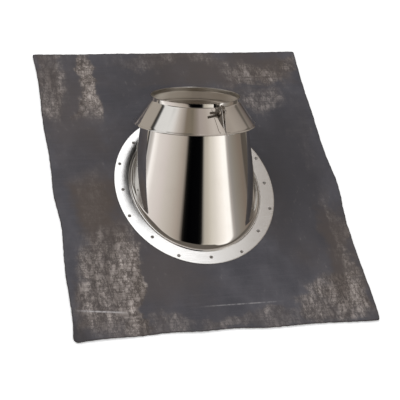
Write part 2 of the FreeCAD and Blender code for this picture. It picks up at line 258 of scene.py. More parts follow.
leadSheet = {
    "thickness": 0.0015,
    "columns": 760,  # round the sheet
    "rows": 64,  # from the opening to the cut edge
    "opening": (0.145, 0.1715),  # half width and half length of the oval opening
    "rowPower": 0.9,  # under 1, rows lie closer together towards the cut edge
    "flat": 0.06,  # how far out from the opening the ring keeps it flat
    "looseWidth": 0.05,  # how wide the change from flat to loose is
    "swell": 0.0010,  # height of the slow dressing waves
    "ripple": 0.00035,  # height of the small dents
    "edgeLift": 0.0012,  # how far the cut edge may stand off the roof
    "rimStart": 0.8,  # share of the way out where the edge begins to lift
    "edgeBulge": 0.0002,  # how far the middle of the cut edge stands out
    "skin": 0.00001,  # how far the sheet stays inside its CAD faces
    "edgeShadeWidth": 0.0032,  # width of the painted shade along the cut edge
    "edgeRagged": 0.0022,  # unevenness of the hand-cut edge
    "raggedShare": 0.6,  # mean of that unevenness, and how far it swings
    # wave lengths and seed of each unevenness
    "raggedWaves": ((0.007, 0.015, 0.031), 5),
    "swellWaves": ((0.16, 0.26, 0.41), 11),
    "rippleWaves": ((0.035, 0.055, 0.085), 23),
    "liftWaves": ((0.12, 0.19), 31),
    # how the outline is found in the frame: greatest height and least reach of its points
    "outlineHeight": 0.0005, "outlineReach": 0.28,
    "colour": (0.051, 0.0495, 0.059, 1.0),
    "bloom": (0.090, 0.086, 0.098, 1.0),
    # colour of the painted shade in the darker places
    "shade": (0.042, 0.039, 0.044, 1.0),
    "tarnish": (0.076, 0.064, 0.062, 1.0),
    "stain": (0.078, 0.060, 0.050, 1.0),
    "dust": (0.128, 0.101, 0.085, 1.0),
    "patina": (0.470, 0.418, 0.388, 1.0),
    # the colour of the cracks, also used for the painted shade along the cut edge
    "crackAndEdgeShade": (0.040, 0.034, 0.031, 1.0),
    # colour of the painted highlight along the folds
    "foldHighlight": (0.42, 0.40, 0.40, 1.0),
    "specular": 0.3, "reliefStrength": 0.4, "reliefDepth": 0.0008,
    # noises: scales, detail, roughness, offset
    "noises": {
        "mottled": ((11.0, 8.0, 8.0), 6.0, 0.62),
        "broad": ((4.2, 3.4, 3.4), 5.0, 0.6, (9.0, 4.0, 0.0)),
        "columns": ((27.0, 3.4, 3.4), 4.0, 0.55, (3.0, 1.0, 0.0)),
        "streaks": ((95.0, 42.0, 42.0), 6.0, 0.74, (2.0, 4.0, 0.0)),
        "cracks": ((58.0, 30.0, 30.0), 6.0, 0.74, (1.0, 7.0, 0.0)),
        "lines": ((12.0, 240.0, 240.0), 3.0, 0.6, (5.0, 2.0, 0.0)),
        "grain": ((420.0, 420.0, 420.0), 3.0, 0.6),
    },
    "wander": {"reach": 0.15, "scale": 9.0, "detail": 5.0, "roughness": 0.6},
    "patchFade": (0.30, 1.05),  # where a patch begins to fade and where it ends
    "fraying": 0.9,  # how far the mottling moves the edge of a patch
    "fleckStrength": 0.16, "brownStrength": 0.8, "patinaRoughness": 0.18,
    "foldHighlightFloor": 0.15,  # share of the painted fold highlight that is left where the streak noise breaks it
    # parts of the relief beside the mottling
    "crackRelief": 0.5, "lineRelief": 0.25, "grainRelief": 0.12,
    # spreads: low and high of the noise, then low and high of what comes out
    "spreads": {
        "covered": (0.05, 0.75), "columns": (0.36, 0.66, 0.10, 1.0),
        "streaks": (0.32, 0.66, 0.15, 1.0), "split": (0.0, 0.055, 0.1, 1.0),
        "lines": (0.36, 0.56, 0.45, 1.0), "fleckStreaks": (0.56, 0.76),
        "fleckMottle": (0.42, 0.62), "bloom": (0.35, 0.75),
        "lineBloom": (0.45, 0.8, 0.0, 0.45), "grainBloom": (0.35, 0.8, 0.0, 0.35),
        "tarnish": (0.46, 0.70, 0.0, 0.7), "dust": (0.35, 0.65),
        "crackColumns": (0.62, 0.42, 0.10, 0.75), "foldHighlight": (0.35, 0.55),
        "cutEdgeShade": (0.1, 0.9, 0.0, 0.85), "rough": (0.3, 0.7, 0.46, 0.58),
    },
    # worn patches: middle x y, half sizes x y, turn in degrees, strength
    "patches": (
        (-0.238, -0.245, 0.09, 0.2, -4.0, 0.85), (-0.185, -0.27, 0.03, 0.19, -6.0, 1.0),
        (-0.205, 0.33, 0.036, 0.15, -5.0, 1.0), (-0.3, 0.32, 0.05, 0.17, 0.0, 0.62),
        (-0.14, -0.36, 0.12, 0.035, 0.0, 0.5), (0.285, -0.32, 0.085, 0.085, 15.0, 0.92),
        (0.215, -0.345, 0.065, 0.06, 0.0, 0.7), (0.225, 0.34, 0.11, 0.055, -10.0, 0.62),
        (0.215, 0.265, 0.085, 0.055, -5.0, 0.55), (0.3, 0.385, 0.05, 0.04, 0.0, 0.75),
        (0.06, -0.36, 0.2, 0.032, 0.0, 0.5), (0.0, 0.395, 0.2, 0.03, 0.0, 0.45),
        (-0.235, -0.04, 0.045, 0.22, 0.0, 0.3), (0.3, 0.15, 0.035, 0.24, 0.0, 0.22),
        (0.32, -0.16, 0.025, 0.2, 0.0, 0.45),
    ),
    # darker places (painted shade), brown stains and pale fold lines (painted highlight): the
    # same values
    # painted shade: the darker places, the largest over the sheet's right side
    "darker": (
        (0.245, 0.03, 0.12, 0.3, 0.0, 0.75), (-0.06, 0.33, 0.13, 0.11, 0.0, 0.55),
        (-0.315, -0.37, 0.05, 0.04, 0.0, 0.9),
    ),
    "brownish": (
        (-0.235, -0.05, 0.065, 0.13, 0.0, 0.85), (0.265, 0.36, 0.07, 0.07, 0.0, 0.6),
        (0.08, 0.365, 0.2, 0.06, 0.0, 0.45), (-0.25, 0.24, 0.09, 0.2, 0.0, 0.4),
        (0.31, -0.2, 0.04, 0.16, 0.0, 0.6),
    ),
    # painted highlights: pale lines along the folds, where they catch the light
    "foldHighlights": (
        (-0.26, -0.3125, 0.06, 0.0026, -7.4, 0.8), (0.046, -0.3185, 0.098, 0.002, -0.3, 0.4),
    ),
}


# Smooth unevenness from -1 to 1: the mean over seeded directions and phases of
# sin(distance along the direction * full turn / wave length + phase).
def unevenness(x, y, waveLengths, seed, directions=3):
    chance = np.random.default_rng(seed)
    total = np.zeros_like(x)
    for length in waveLengths:
        for _ in range(directions):
            angle, phase = chance.uniform(0, 2 * math.pi, 2)
            along = x * math.cos(angle) + y * math.sin(angle)
            total += np.sin(along * 2 * math.pi / length + phase)
    return total / (directions * len(waveLengths))


# The frame's outline: the apron's outer points in order of their angle, and where each ray
# from the middle crosses the edge a-b: ray * cross(a, edge) / cross(ray, edge).
def sheetOutline(angles):
    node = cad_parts["lead_apron"]
    flat = np.array([v.co[:] for v in node.data.vertices])
    outside = np.hypot(flat[:, 0], flat[:, 1]) > leadSheet["outlineReach"]
    flat = flat[(flat[:, 2] < leadSheet["outlineHeight"]) & outside, :2]
    turn = np.arctan2(flat[:, 1], flat[:, 0])
    flat = flat[np.argsort(turn)]
    turn = np.sort(turn)
    keep = np.append(True, np.diff(turn) > 1e-7)  # doubled points go
    flat, turn = flat[keep], turn[keep]
    wanted = (angles - turn[0]) % (2 * math.pi) + turn[0]
    index = np.clip(np.searchsorted(turn, wanted, side="right") - 1, 0, len(flat) - 1)
    a, b = flat[index], flat[(index + 1) % len(flat)]
    ray = np.stack([np.cos(wanted), np.sin(wanted)], -1)
    edge = b - a
    cross = ray[:, 0] * edge[:, 1] - ray[:, 1] * edge[:, 0]
    reach = (a[:, 0] * edge[:, 1] - a[:, 1] * edge[:, 0]) / cross
    return ray * reach[:, None]


# Point = opening point + share * (outline point - opening point), out along the top, round
# the cut edge and back below. Height = loose * (swell + ripple + edge lift); the attribute
# for the painted shade along the cut edge falls from 1 at the edge to 0 over the shade's width.
def buildLeadSheet():
    s = leadSheet
    angles = np.linspace(-math.pi, math.pi, s["columns"], endpoint=False)
    outer = sheetOutline(angles)
    ragged = unevenness(outer[:, 0], outer[:, 1], *s["raggedWaves"])
    ragged = s["raggedShare"] + s["raggedShare"] * ragged
    outward = outer / np.linalg.norm(outer, axis=1)[:, None]
    outer = outer - outward * (s["edgeRagged"] * ragged)[:, None]
    inner = np.stack([s["opening"][0] * np.cos(angles), s["opening"][1] * np.sin(angles)], -1)
    share = np.linspace(0, 1, s["rows"]) ** s["rowPower"]
    plan = inner[None] + (outer - inner)[None] * share[:, None, None]
    x, y = plan[..., 0], plan[..., 1]
    fromOpening = np.linalg.norm(plan - inner[None], axis=-1)
    loose = np.clip((fromOpening - s["flat"]) / s["looseWidth"], 0, 1)
    loose = loose * loose * (3 - 2 * loose)
    swell = unevenness(x, y, *s["swellWaves"]) + 1.0
    ripple = unevenness(x, y, *s["rippleWaves"]) + 1.0
    rim = np.clip((share[:, None] - s["rimStart"]) / (1 - s["rimStart"]), 0, 1) ** 2
    lift = (unevenness(x, y, *s["liftWaves"]) + 1.0) * rim
    low = loose * (s["swell"] * swell + s["ripple"] * ripple + s["edgeLift"] * lift) + s["skin"]
    high = low + s["thickness"] - 2 * s["skin"]
    top = np.stack([x, y, high], -1)
    bottom = np.stack([x, y, low], -1)[::-1]
    bulge = outer + outward * s["edgeBulge"]
    middle = np.stack([bulge[:, 0], bulge[:, 1], (low[-1] + high[-1]) / 2], -1)[None]
    points = np.concatenate([top, middle, bottom])
    quads = gridFaces(len(points), s["columns"], True, True)
    piece = meshFrom("lead_sheet", points.reshape(-1, 3), quads)
    # painted shade: a mask that darkens the sheet towards its cut edge
    cut = np.clip((fromOpening - fromOpening[-1:] + s["edgeShadeWidth"]) / s["edgeShadeWidth"], 0, 1)
    cut = np.concatenate([cut, cut[-1:], cut[::-1]]).astype(np.float32)
    piece.data.attributes.new("cutEdgeShade", "FLOAT", "POINT").data.foreach_set("value", cut.ravel())
    return piece


# A position moved sideways by noise: position - half the reach + noise colour * reach.
def wandering(tree, position):
    w = leadSheet["wander"]
    noise = addNode(tree, "ShaderNodeTexNoise", {
        "Vector": position, "Scale": w["scale"], "Detail": w["detail"],
        "Roughness": w["roughness"]})
    half, reach = w["reach"] / 2, w["reach"]
    base = addNode(tree, "ShaderNodeVectorMath", {0: position, 1: (half, half, 0.0)})
    base.operation = "SUBTRACT"
    shift = addNode(tree, "ShaderNodeVectorMath")
    shift.operation = "MULTIPLY_ADD"
    fill(tree, shift.inputs, {
        0: noise.outputs["Color"], 1: (reach, reach, 0.0), 2: base.outputs[0]})
    return shift.outputs[0]


# Bare lead is blue grey. Patina = cover * columns * streaks * cracks * rolling lines, where
# cover is the greatest patch mask, frayed by the mottling; flecks of it lie everywhere.
def leadMaterial():
    s = leadSheet
    material, tree, shader = newMaterial("dressed_lead")
    noise = {name: stretchedNoise(tree, *values) for name, values in s["noises"].items()}
    plain = addNode(tree, "ShaderNodeTexCoord").outputs["Object"]
    position = wandering(tree, plain)

    def limited(value, name):
        return spread(tree, value, *s["spreads"][name])

    def times(a, b):
        return calculate(tree, "MULTIPLY", a, b)

    def plus(a, b):
        return calculate(tree, "ADD", a, b)

    cover = None
    for *shape, strength in s["patches"]:
        mask = times(patchMask(tree, position, *shape), strength)
        cover = mask if cover is None else calculate(tree, "MAXIMUM", cover, mask)
    frayed = times(calculate(tree, "SUBTRACT", noise["mottled"], 0.5), s["fraying"])
    cover = times(limited(plus(cover, frayed), "covered"), cover)
    split = calculate(tree, "ABSOLUTE", calculate(tree, "SUBTRACT", noise["cracks"], 0.5))
    split = limited(split, "split")
    worn = times(limited(noise["columns"], "columns"), limited(noise["streaks"], "streaks"))
    worn = times(times(cover, times(worn, split)), limited(noise["lines"], "lines"))
    flecks = times(limited(noise["streaks"], "fleckStreaks"),
                   limited(noise["mottled"], "fleckMottle"))
    worn = calculate(tree, "MAXIMUM", worn, times(flecks, s["fleckStrength"]))

    # the bare sheet, then its darker places, which are painted shade, and its browner stains
    base = mixColours(tree, limited(noise["mottled"], "bloom"), s["colour"], s["bloom"])
    for name, limits, tone in (("lines", "lineBloom", "bloom"), ("grain", "grainBloom", "bloom"),
                               ("broad", "tarnish", "tarnish")):
        base = mixColours(tree, limited(noise[name], limits), base, s[tone])
    # the darker places are painted shade; the brownish ones are stains
    for places, tone in ((s["darker"], s["shade"]), (s["brownish"], s["stain"])):
        for *shape, strength in places:
            mask = patchMask(tree, position, *shape)
            base = mixColours(tree, times(mask, strength), base, tone)

    # dust and patina over it, then cracks, the painted highlights along the folds and the painted
    # shade along the cut edge
    stained = mixColours(tree, limited(noise["streaks"], "dust"), s["stain"], s["dust"])
    earthy = mixColours(tree, times(cover, s["brownStrength"]), base, stained)
    colour = mixColours(tree, worn, earthy, s["patina"])
    depth = times(calculate(tree, "SUBTRACT", 1.0, split), cover)
    depth = times(depth, limited(noise["columns"], "crackColumns"))
    colour = mixColours(tree, depth, colour, s["crackAndEdgeShade"])
    # painted highlight: pale lines along the folds, where they catch the light
    for *shape, strength in s["foldHighlights"]:
        mask = patchMask(tree, plain, *shape)
        broken = spread(tree, noise["streaks"], *s["spreads"]["foldHighlight"],
                        s["foldHighlightFloor"] * strength, strength)
        colour = mixColours(tree, times(mask, broken), colour, s["foldHighlight"])
    # painted shade along the cut edge
    cut = addNode(tree, "ShaderNodeAttribute")
    cut.attribute_name = "cutEdgeShade"
    colour = mixColours(tree, limited(cut.outputs["Fac"], "cutEdgeShade"), colour, s["crackAndEdgeShade"])

    rough = plus(limited(noise["mottled"], "rough"), times(cover, s["patinaRoughness"]))
    relief = plus(times(noise["cracks"], s["crackRelief"]), noise["mottled"])
    relief = plus(relief, times(noise["lines"], s["lineRelief"]))
    relief = plus(relief, times(noise["grain"], s["grainRelief"]))
    normal = raised(tree, relief, s["reliefStrength"], s["reliefDepth"])
    fill(tree, shader.inputs, {
        "Base Color": colour, "Roughness": rough, "Normal": normal,
        "Specular IOR Level": s["specular"]})
    return material


finishPiece(buildLeadSheet(), ["lead_apron"], leadMaterial(), smoothAngle=50.0)


ring = {
    "halfWidth": 0.186, "halfLength": 0.2125,
    "innerHalfWidth": 0.1445, "innerHalfLength": 0.171,
    "low": 0.0015, "high": 0.0027,
    "edge": 0.0004, "edgeSteps": 4,  # rounding of the punched edges
    "step": 0.0025,  # greatest step across the band
    "columns": 720,
    "wave": 0.00003,  # slight unevenness that shows in the reflections
    "waves": ((0.05, 0.09, 0.15), 7),  # its wave lengths and seed
    "colour": (0.80, 0.795, 0.79, 1.0),
    "rough": (0.15, 0.21), "grain": (30.0, 420.0, 30.0), "relief": 0.03,
}
rivetHeads = {
    "radius": 0.0040, "height": 0.0013, "steps": 24,
    "profile": (0.0, 0.25, 0.45, 0.62, 0.77, 0.9, 0.97, 1.0),  # shares of the radius
    "rim": 0.00012,  # height of the head's edge over the ring
    "undercut": 0.97,  # share of the radius where the head meets the ring
    "sunk": (0.00005, 0.0001),  # how far the head's underside and the shank's top lie in it
    "shank": 0.002, "shankEnd": 0.0002,
    "groupGap": 0.08,  # angle between two rivets in the frame, at least
    "colour": (0.66, 0.66, 0.665, 1.0),
    "rough": (0.5, 0.65), "grain": (500.0, 500.0, 500.0), "relief": 0.1,
}


# Oval point = (half width * cos, half length * sin), the half sizes growing across the band;
# the section is the band's rectangle with rounded corners.
def buildRing():
    r = ring
    band = r["halfWidth"] - r["innerHalfWidth"]
    section = np.array([(0, r["low"]), (band, r["low"]), (band, r["high"]), (0, r["high"])])
    section = denser(roundedLoop(section, r["edge"], r["edgeSteps"]), r["step"])
    angles = fullTurn(r["columns"])
    share = section[:, :1] / band
    x = (r["innerHalfWidth"] + share * band) * np.cos(angles)
    y = (r["innerHalfLength"] + share * (r["halfLength"] - r["innerHalfLength"])) * np.sin(angles)
    z = np.repeat(section[:, 1:], len(angles), 1)
    upper = (z - r["low"]) / (r["high"] - r["low"])
    z = z - upper * r["wave"] * (unevenness(x, y, *r["waves"]) + 1.0)
    points = np.stack([x, y, z], -1)
    quads = gridFaces(len(section), r["columns"], True, True)
    return meshFrom("ring_plate", points.reshape(-1, 3), quads)


# The middle of each rivet in the frame, half of least + greatest of its points, which are one
# group in the order of the angle.
def rivetPlaces():
    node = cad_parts["ring_rivets"]
    flat = np.array([v.co[:2] for v in node.data.vertices])
    turn = np.arctan2(flat[:, 1], flat[:, 0])
    order = np.argsort(turn)
    flat, turn = flat[order], turn[order]
    breaks = np.where(np.diff(turn) > rivetHeads["groupGap"])[0] + 1
    groups = np.split(np.arange(len(turn)), breaks)
    if turn[0] + 2 * math.pi - turn[-1] < rivetHeads["groupGap"]:
        groups = [np.concatenate([groups[-1], groups[0]])] + groups[1:-1]
    places = [(flat[g].min(0) + flat[g].max(0)) / 2 for g in groups]
    return np.array(places)


# Head: out by radius * share, up by rim + (height - rim) * (1 - share squared), over a shank;
# one rivet's points are repeated at every middle.
def buildRivets():
    h = rivetHeads
    share = np.array(h["profile"])
    below = [h["radius"] * h["undercut"], h["shank"], h["shank"], 0.0]
    radius = np.concatenate([share * h["radius"], below])
    dome = ring["high"] + h["rim"] + (h["height"] - h["rim"]) * (1 - share ** 2)
    sunk = [ring["high"] - depth for depth in h["sunk"]]
    height = np.concatenate([dome, sunk, [h["shankEnd"], h["shankEnd"]]])
    turn = fullTurn(h["steps"])
    x = radius[:, None] * np.cos(turn)
    y = radius[:, None] * np.sin(turn)
    z = np.repeat(height[:, None], h["steps"], 1)
    one = np.stack([x, y, z], -1).reshape(-1, 3)
    places = rivetPlaces()
    shift = np.concatenate([places, np.zeros((len(places), 1))], 1)
    points = (one[None] + shift[:, None]).reshape(-1, 3)
    quads = gridFaces(len(radius), h["steps"], False, True)
    quads = (quads[None] + (np.arange(len(places)) * len(one))[:, None, None]).reshape(-1, 4)
    return meshFrom("rivet_heads", points, quads)


brushing = {
    "grainDetail": 3.0, "grainRoughness": 0.6, "grainLimits": (0.3, 0.7), "depth": 0.0002,
    "stain": ((14.0, 14.0, 14.0), 4.0, 0.6, (2.0, 5.0, 1.0)),  # scales, detail, roughness, offset
    "stainSpread": (0.4, 0.75, 0.0, 0.5),
    "stainTone": 0.9,  # the stained colour as a share of the clean one
}


# Brushed metal: grain noise spreads from the smoothest to the roughest finish and gives the
# relief; broad noise mixes the colour with its stained tone.
def buildBrushedGroup():
    b = brushing
    tree, given, result = newGroup("brushed finish", {
        "Colour": "Color", "Stained Colour": "Color", "Grain Scale": "Vector",
        "Smoothest": "Float", "Roughest": "Float", "Relief": "Float"},
        {"Colour": "Color", "Roughness": "Float", "Normal": "Vector"})
    grain = stretchedNoise(tree, given["Grain Scale"], b["grainDetail"], b["grainRoughness"])
    stain = spread(tree, stretchedNoise(tree, *b["stain"]), *b["stainSpread"])
    rough = spread(tree, grain, *b["grainLimits"], given["Smoothest"], given["Roughest"])
    fill(tree, result, {
        "Colour": mixColours(tree, stain, given["Colour"], given["Stained Colour"]),
        "Roughness": rough, "Normal": raised(tree, grain, given["Relief"], b["depth"])})
    return tree


brushedGroup = buildBrushedGroup()


# Stained colour = colour * tone; the group's colour, roughness and normal go to the shader.
def brushedMaterial(name, finish):
    material, tree, shader = newMaterial(name)
    colour, (smoothest, roughest) = finish["colour"], finish["rough"]
    stained = tuple(c * brushing["stainTone"] for c in colour[:3]) + (1.0,)
    made = placeGroup(tree, brushedGroup, {
        "Colour": colour, "Stained Colour": stained, "Grain Scale": finish["grain"],
        "Smoothest": smoothest, "Roughest": roughest, "Relief": finish["relief"]})
    fill(tree, shader.inputs, {
        "Base Color": made["Colour"], "Roughness": made["Roughness"], "Normal": made["Normal"],
        "Metallic": 1.0})
    return material


ringMetal = brushedMaterial("brushed_ring", ring)
finishPiece(buildRing(), ["flange_ring"], ringMetal)
rivetMetal = brushedMaterial("rivet_metal", rivetHeads)
finishPiece(buildRivets(), ["ring_rivets"], rivetMetal)


cone = {
    "sheet": 0.0008, "topRadius": 0.1175, "topHeight": 0.165, "lip": 0.005,
    "foot": (0.145, 0.1715), "ringTop": 0.0027,
    "flareWidth": 0.008, "flareRise": 0.006, "hemRadius": 0.0011,
    "columns": 640, "hemSteps": 10, "flareSteps": 12, "wallSteps": 40, "lipSteps": 5,
    "halfAngle": math.radians(35.0),
    "skin": 0.00002,  # how far the foot stands over the ring
    "inwardLimit": -0.3,  # faces whose normal points in by more show the dull side
    "colour": (0.86, 0.85, 0.84, 1.0), "dull": (0.80, 0.785, 0.77, 1.0),
    # noises: scales, detail, roughness; spreads of the smears
    "smear": ((18.0, 18.0, 9.0), 5.0, 0.6), "rolled": ((700.0, 700.0, 18.0), 2.0, 0.5),
    "smearTint": (0.45, 0.8, 0.0, 0.5), "smearRough": (0.35, 0.8, 0.035, 0.075),
    "reliefStrength": 0.02, "reliefDepth": 0.0001,
}
innerSide = {
    "colour": (0.70, 0.68, 0.65, 1.0), "rough": (0.28, 0.36), "grain": (240.0, 240.0, 30.0),
    "relief": 0.03}


# An oval is three vectors: point = middle + half width * cos + half length * sin. The foot's
# half sizes are the opening's, less the insets, plus the growth.
def footOval(insets, grow, height):
    halfWidth, halfLength = cone["foot"]
    front = -(halfLength - insets[0] + grow)
    back = halfLength - insets[1] + grow
    return np.array([
        [0, (front + back) / 2, height], [halfWidth - insets[2] + grow, 0, 0],
        [0, (back - front) / 2, 0]])


# A circle square to the flue: middle = flue's foot + axis * height, half sizes = the radius.
def topOval(radius, height):
    return np.array([flueFoot + flueAxis * height, flueSide * radius, flueDown * radius])


# Thickness / sine of the wall's slope, at the front, the back and the sides.
def wallInsets(thickness):
    middle, side, along = topOval(cone["topRadius"], cone["topHeight"])
    halfWidth, halfLength = cone["foot"]
    pairs = (
        (middle[1] - along[1] + halfLength, middle[2] - along[2] - cone["ringTop"]),
        (halfLength - middle[1] - along[1], middle[2] + along[2] - cone["ringTop"]),
        (halfWidth - side[0], middle[2] - cone["ringTop"]))
    return [thickness * math.hypot(run, rise) / rise for run, rise in pairs]


# Flare: (1-u)^2 * start + 2u(1-u) * corner + u^2 * joined; wall: straight from joined to top.
def coneSkin(thickness, base, topRadius, flareStart):
    insets = wallInsets(thickness) if thickness else [0, 0, 0]
    start, corner = footOval(insets, flareStart, base), footOval(insets, 0, base)
    top = topOval(topRadius, cone["topHeight"])
    share = cone["flareRise"] / top[0, 2]
    joined = corner * (1 - share) + top * share
    flare = [start * (1 - u) ** 2 + corner * 2 * u * (1 - u) + joined * u * u
             for u in np.linspace(0, 1, cone["flareSteps"] + 1)]
    wall = [joined * (1 - u) + top * u for u in np.linspace(0, 1, cone["wallSteps"] + 1)[1:]]
    return flare + wall


# The lip under the collar: in by lip * sin and up by lip * cos of the collar's half angle.
def lipOvals(inset):
    c, half = cone, cone["halfAngle"]
    wall = topOval(c["topRadius"] - inset, c["topHeight"])
    radius = c["topRadius"] - c["lip"] * math.sin(half) - inset / math.cos(half)
    end = topOval(radius, c["topHeight"] + c["lip"] * math.cos(half))
    return [wall * (1 - u) + end * u for u in np.linspace(0, 1, c["lipSteps"] + 1)[1:]]


# Half a circle round the flare's edge: out by radius * cos, up by radius * (1 + sin).
def hemOvals():
    c = cone
    ovals = []
    for turn in np.radians(np.linspace(-90, 90, c["hemSteps"] + 1)):
        grow = c["flareWidth"] - c["hemRadius"] + c["hemRadius"] * math.cos(turn)
        height = c["ringTop"] + c["hemRadius"] + c["hemRadius"] * math.sin(turn)
        ovals.append(footOval([0, 0, 0], grow, height + c["skin"]))
    return ovals


# The ovals run round the hem, up the outside, over the lip and back down the inside.
def buildCone():
    c = cone
    flareStart = c["flareWidth"] - 2 * c["hemRadius"]
    outer = coneSkin(0, c["ringTop"] + c["sheet"], c["topRadius"], flareStart)
    inner = coneSkin(
        c["sheet"], c["ringTop"] + c["skin"], c["topRadius"] - c["sheet"], flareStart)
    ovals = hemOvals() + outer + lipOvals(0) + (inner + lipOvals(c["sheet"]))[::-1]
    ovals = np.array(ovals)[:, :, None]
    turn = fullTurn(c["columns"])[:, None]
    points = ovals[:, 0] + ovals[:, 1] * np.cos(turn) + ovals[:, 2] * np.sin(turn)
    quads = gridFaces(len(ovals), c["columns"], True, True)
    return meshFrom("polished_cone", points.reshape(-1, 3), quads)


# Mirror-polished sheet: broad noise spreads over a little roughness and tint, and noise
# stretched along the sheet gives the faintest rolling.
def polishedMaterial():
    c = cone
    material, tree, shader = newMaterial("polished_sheet")
    smear = stretchedNoise(tree, *c["smear"])
    tint = mixColours(tree, spread(tree, smear, *c["smearTint"]), c["colour"], c["dull"])
    rolled = stretchedNoise(tree, *c["rolled"])
    fill(tree, shader.inputs, {
        "Base Color": tint, "Roughness": spread(tree, smear, *c["smearRough"]),
        "Normal": raised(tree, rolled, c["reliefStrength"], c["reliefDepth"]), "Metallic": 1.0})
    return material


# The dull side: a face takes the second material when the cosine between its normal and the
# way out from the flue's axis is under the limit.
def dullInside(piece, material):
    piece.data.materials.append(material)
    mesh = piece.data
    middle = np.zeros(len(mesh.polygons) * 3)
    normal = np.zeros(len(mesh.polygons) * 3)
    mesh.polygons.foreach_get("center", middle)
    mesh.polygons.foreach_get("normal", normal)
    out = middle.reshape(-1, 3) - flueFoot
    out = out - (out @ flueAxis)[:, None] * flueAxis
    cosine = np.sum(out * normal.reshape(-1, 3), 1) / np.linalg.norm(out, axis=1)
    inward = cosine < cone["inwardLimit"]
    mesh.polygons.foreach_set("material_index", inward.astype(np.int32))
    mesh.update()


polished = polishedMaterial()
innerFace = brushedMaterial("inner_face", innerSide)
dullInside(finishPiece(
    buildCone(), ["flashing_cone"], polished, smoothAngle=35.0), innerFace)


collar = {
    "sheet": 0.0008, "skirtRadius": 0.139, "skirtHem": 0.004,
    "neckHeight": 0.0092, "neckLip": 0.0012, "clearance": 0.0002,
    "columns": 540, "bendSteps": 5, "step": 0.004,
    # how far the rounding of each corner of the section reaches, from the skirt's inner edge
    "bends": (0.0007, 0.0007, 0.0003, 0.0002, 0.0012, 0.0004, 0.0003, 0.0003, 0.0004, 0.0015),
    "slitAzimuth": math.radians(-75.0), "slitTop": 0.008, "slitBottom": 0.0024,
}


# The collar's heights along the flue: on its slope, change of radius / tan of the half angle.
def collarHeights():
    c, half = collar, cone["halfAngle"]
    across = c["sheet"] / math.cos(half)
    atLip = cone["topRadius"] + c["clearance"] / math.cos(half) + across
    foot = cone["topHeight"] - (c["skirtRadius"] - atLip) / math.tan(half)
    neck = flue["radius"] + c["sheet"]
    neckFoot = cone["topHeight"] + (atLip - neck) / math.tan(half)
    return foot, neckFoot, neckFoot + c["neckHeight"]


collar["foot"], collar["neckFoot"], collar["top"] = collarHeights()
collar["slitLean"] = (collar["slitTop"] - collar["slitBottom"]) / 2 / (
    collar["top"] - collar["foot"])


# Half the bottom width + lean * (height - foot).
def slitHalfWidth(height):
    return collar["slitBottom"] / 2 + collar["slitLean"] * (height - collar["foot"])


# Radius and height round the sheet's section with its folded hem: corners set off by the
# sheet square to the slope, then rounded.
def collarSection():
    c, half = collar, cone["halfAngle"]
    down = np.array([math.sin(half), -math.cos(half)])
    out = np.array([math.cos(half), math.sin(half)]) * c["sheet"]
    edge = np.array([c["skirtRadius"], c["foot"]])
    innerEdge = edge - out
    rise = (innerEdge[0] - flue["radius"]) / math.tan(half)
    neck = flue["radius"] + c["sheet"]
    corners = [
        innerEdge, edge + out, edge + out - down * c["skirtHem"], edge - down * c["skirtHem"],
        (neck, c["neckFoot"]), (neck, c["top"] - c["neckLip"]), (neck + c["neckLip"], c["top"]),
        (flue["radius"] + c["neckLip"], c["top"]), (flue["radius"], c["top"] - c["neckLip"]),
        (flue["radius"], innerEdge[1] + rise)]
    return denser(roundedLoop(corners, c["bends"], c["bendSteps"]), c["step"])


# Point on the flue = foot + axis * height + radius * (side * cos + down * sin).
def onFlue(radius, height, angle):
    turn = np.asarray(angle)[..., None]
    return flueFoot + flueAxis * np.asarray(height)[..., None] + np.asarray(radius)[..., None] * (
        flueSide * np.cos(turn) + flueDown * np.sin(turn))


# The section is turned from one edge of the slit to the other; the sine of the angle left out
# is the slit's half width there / radius.
def buildCollar():
    section = collarSection()
    gap = np.arcsin(slitHalfWidth(section[:, 1]) / section[:, 0])[:, None]
    share = np.linspace(0, 1, collar["columns"])[None]
    angles = collar["slitAzimuth"] + gap + (2 * math.pi - 2 * gap) * share
    radius = np.repeat(section[:, :1], collar["columns"], 1)
    height = np.repeat(section[:, 1:], collar["columns"], 1)
    points = onFlue(radius, height, angles).reshape(-1, 3)
    quads = gridFaces(len(section), collar["columns"], True, False)
    first = np.arange(len(section)) * collar["columns"]
    caps = [first, (first + collar["columns"] - 1)[::-1]]
    return meshFrom("split_collar", points, quads, caps)


dullInside(finishPiece(buildCollar(), ["storm_collar"], polished), innerFace)


clamp = {
    "screwReach": 0.017, "screwDrop": 0.0165, "earSheet": 0.0010, "gap": 0.00005,
    "screwRadius": 0.0030, "screwLength": 0.035, "pitch": 0.0010, "threadDepth": 0.0005,
    "acrossFlats": 0.010, "headHeight": 0.004, "nutHeight": 0.005, "chamfer": 0.0006,
    "chamferSlope": 1.7, "hexSteps": 144, "hexDepths": (0, 0.0002, 0.0004, 0.0006, 0.0009),
    "threadSteps": 48, "ringsPerPitch": 8, "tip": 0.0008,  # length and depth of the pointed end
    "intoHead": 0.0005, "boreGap": 0.00005,
    "bevel": 0.00015, "bevelAngle": math.radians(40.0),
    "colour": (0.30, 0.27, 0.24, 1.0),
    "rough": (0.25, 0.4), "grain": (600.0, 600.0, 600.0), "relief": 0.1,
}

for name in ("clamp_ear_left", "clamp_ear_right"):
    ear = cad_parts[name]
    ear.data.materials.clear()
    ear.data.materials.append(polished)
    bevel = ear.modifiers.new("eased edges", "BEVEL")
    bevel.width, bevel.segments, bevel.limit_method = clamp["bevel"], 2, "ANGLE"
    bevel.angle_limit = clamp["bevelAngle"]
    print("ear", name)


